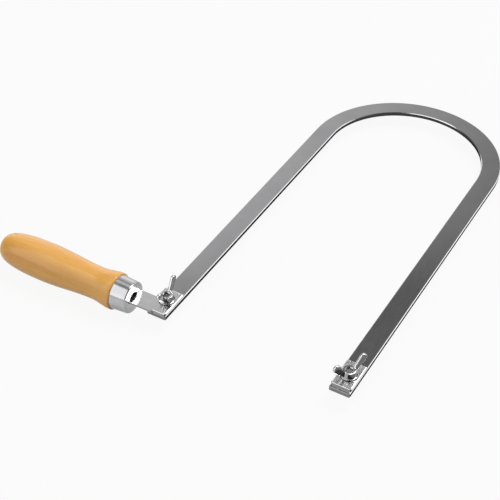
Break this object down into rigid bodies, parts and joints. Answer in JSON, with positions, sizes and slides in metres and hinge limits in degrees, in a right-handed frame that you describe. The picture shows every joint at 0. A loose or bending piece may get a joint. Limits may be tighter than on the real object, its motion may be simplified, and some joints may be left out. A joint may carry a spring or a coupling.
{
  "type": "fret saw",
  "caption": "Deep-throated fret saw: U-shaped flat steel bow, turned wooden handle on a tang, and screw-down blade clamps with wing nuts at the arm ends; no blade.",
  "frame": {"origin": "middle of the blade line, on the bow's upper face", "axes": "+X along the blade line from the handle clamp to the tip clamp, +Y along the arms to the bend, +Z out of the face that carries the wing nuts"},
  "size_m": [0.2358, 0.2863, 0.0239],
  "materials": {
    "plated_strip": "bright plated strip steel",
    "bright_hardware": "bright plated screws, nuts and washers",
    "jaw_sheet": "plated sheet steel, satin",
    "ferrule_sheet": "drawn and plated sheet steel, satin",
    "lacquered_wood": "clear lacquer over straight-grained hardwood"
  },
  "bodies": {
    "bow": {"bow_frame": "plated_strip", "handle_screw": "bright_hardware", "tip_screw": "bright_hardware"},
    "handle_washer": {"handle_washer": "bright_hardware"},
    "handle_unit": {"handle_jaw": "jaw_sheet", "ferrule": "ferrule_sheet", "wood_handle": "lacquered_wood"},
    "handle_nut": {"handle_wing_nut": "bright_hardware"},
    "tip_washer": {"tip_washer": "bright_hardware"},
    "tip_jaw": {"tip_jaw": "jaw_sheet"},
    "tip_nut": {"tip_wing_nut": "bright_hardware"}
  },
  "joints": [
    {"name": "handle_lift", "type": "slide", "parent": "bow", "child": "handle_washer", "axis": [0, 0, 1], "range_m": [0, 0.0024]},
    {"name": "handle_nut_turn", "type": "hinge", "parent": "handle_washer", "child": "handle_nut", "pos_m": [-0.0587, 0.0087, 0.00235], "axis": [0, 0, 1], "range_deg": [0, 1080]},
    {"name": "handle_swing", "type": "hinge", "parent": "handle_washer", "child": "handle_unit", "pos_m": [-0.0587, 0.0087, 0], "axis": [0, 0, 1], "range_deg": [-50, 90]},
    {"name": "tip_lift", "type": "slide", "parent": "bow", "child": "tip_washer", "axis": [0, 0, 1], "range_m": [0, 0.0024]},
    {"name": "tip_nut_turn", "type": "hinge", "parent": "tip_washer", "child": "tip_nut", "pos_m": [0.0587, 0.0087, 0.00235], "axis": [0, 0, 1], "range_deg": [0, 1080]},
    {"name": "tip_jaw_swing", "type": "hinge", "parent": "tip_washer", "child": "tip_jaw", "pos_m": [0.0587, 0.0087, 0], "axis": [0, 0, 1], "continuous": true}
  ],
  "couplings": [
    {"joint": "handle_nut_turn", "follows": "handle_lift", "rad_per_m": 7854},
    {"joint": "tip_nut_turn", "follows": "tip_lift", "rad_per_m": 7854}
  ]
}
